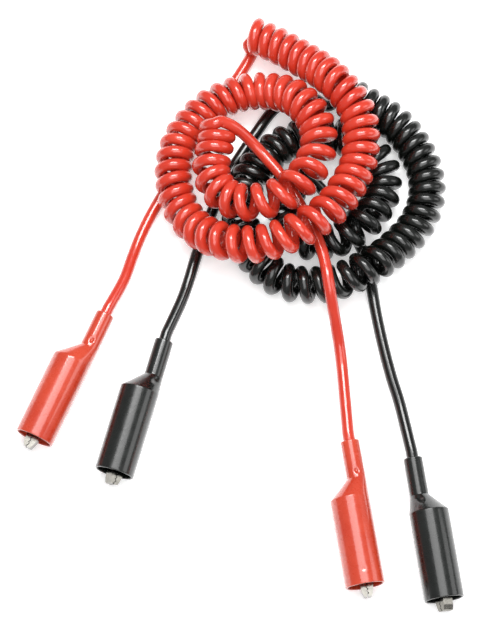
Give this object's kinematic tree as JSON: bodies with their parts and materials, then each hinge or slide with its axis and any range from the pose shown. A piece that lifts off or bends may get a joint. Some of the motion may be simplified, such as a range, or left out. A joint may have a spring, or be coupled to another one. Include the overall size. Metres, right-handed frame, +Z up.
{
  "type": "coiled jumper lead pair",
  "caption": "Red and black coiled jumper leads laid one on the other, each with straight tails and a booted sprung clip at both ends.",
  "frame": {"origin": "on the surface that the leads lie on, in the middle of the box around the four boots and clips", "axes": "+X from the left pair of ends to the right pair, +Y away from the clips towards the coils, +Z up"},
  "size_m": [0.1734, 0.2422, 0.0368],
  "materials": {
    "red_wire": "glossy soft vinyl jacket",
    "black_wire": "glossy soft vinyl jacket",
    "red_boot": "smooth dipped vinyl with a soft gloss",
    "black_boot": "smooth satin vinyl",
    "plated_steel": "bright nickel plate",
    "spring_steel": "drawn spring wire"
  },
  "bodies": {
    "root": {"left_red_boot": "red_boot", "left_red_base_jaw": "plated_steel", "left_red_pivot_pin": "plated_steel", "left_red_spring": "spring_steel", "left_black_boot": "black_boot", "left_black_base_jaw": "plated_steel", "left_black_pivot_pin": "plated_steel", "left_black_spring": "spring_steel", "right_red_boot": "red_boot", "right_red_base_jaw": "plated_steel", "right_red_pivot_pin": "plated_steel", "right_red_spring": "spring_steel", "right_black_boot": "black_boot", "right_black_base_jaw": "plated_steel", "right_black_pivot_pin": "plated_steel", "right_black_spring": "spring_steel", "red_left_tail": "red_wire", "red_coil": "red_wire", "red_right_tail": "red_wire", "black_left_tail": "black_wire", "black_coil": "black_wire", "black_right_tail": "black_wire"},
    "left_red_lever": {"left_red_lever_jaw": "plated_steel"},
    "left_black_lever": {"left_black_lever_jaw": "plated_steel"},
    "right_red_lever": {"right_red_lever_jaw": "plated_steel"},
    "right_black_lever": {"right_black_lever_jaw": "plated_steel"}
  },
  "joints": [
    {"name": "left_red_pivot", "type": "hinge", "parent": "root", "child": "left_red_lever", "pos_m": [-0.07218, 0.02348, 0.0077], "axis": [0, 0, -1], "range_deg": [0, 9.5], "stiffness_Nm_per_rad": 0.25, "springref_deg": -28.65},
    {"name": "left_black_pivot", "type": "hinge", "parent": "root", "child": "left_black_lever", "pos_m": [-0.04265, 0.01037, 0.00703], "axis": [-0.534, 0.1531, -0.8315], "range_deg": [0, 12], "stiffness_Nm_per_rad": 0.25, "springref_deg": -28.65},
    {"name": "right_red_pivot", "type": "hinge", "parent": "root", "child": "right_red_lever", "pos_m": [0.04731, -0.03293, 0.0077], "axis": [0, 0, -1], "range_deg": [0, 12], "stiffness_Nm_per_rad": 0.25, "springref_deg": -28.65},
    {"name": "right_black_pivot", "type": "hinge", "parent": "root", "child": "right_black_lever", "pos_m": [0.07587, -0.0384, 0.0067], "axis": [-0.8219, -0.1258, 0.5556], "range_deg": [0, 12], "stiffness_Nm_per_rad": 0.25, "springref_deg": -28.65}
  ]
}
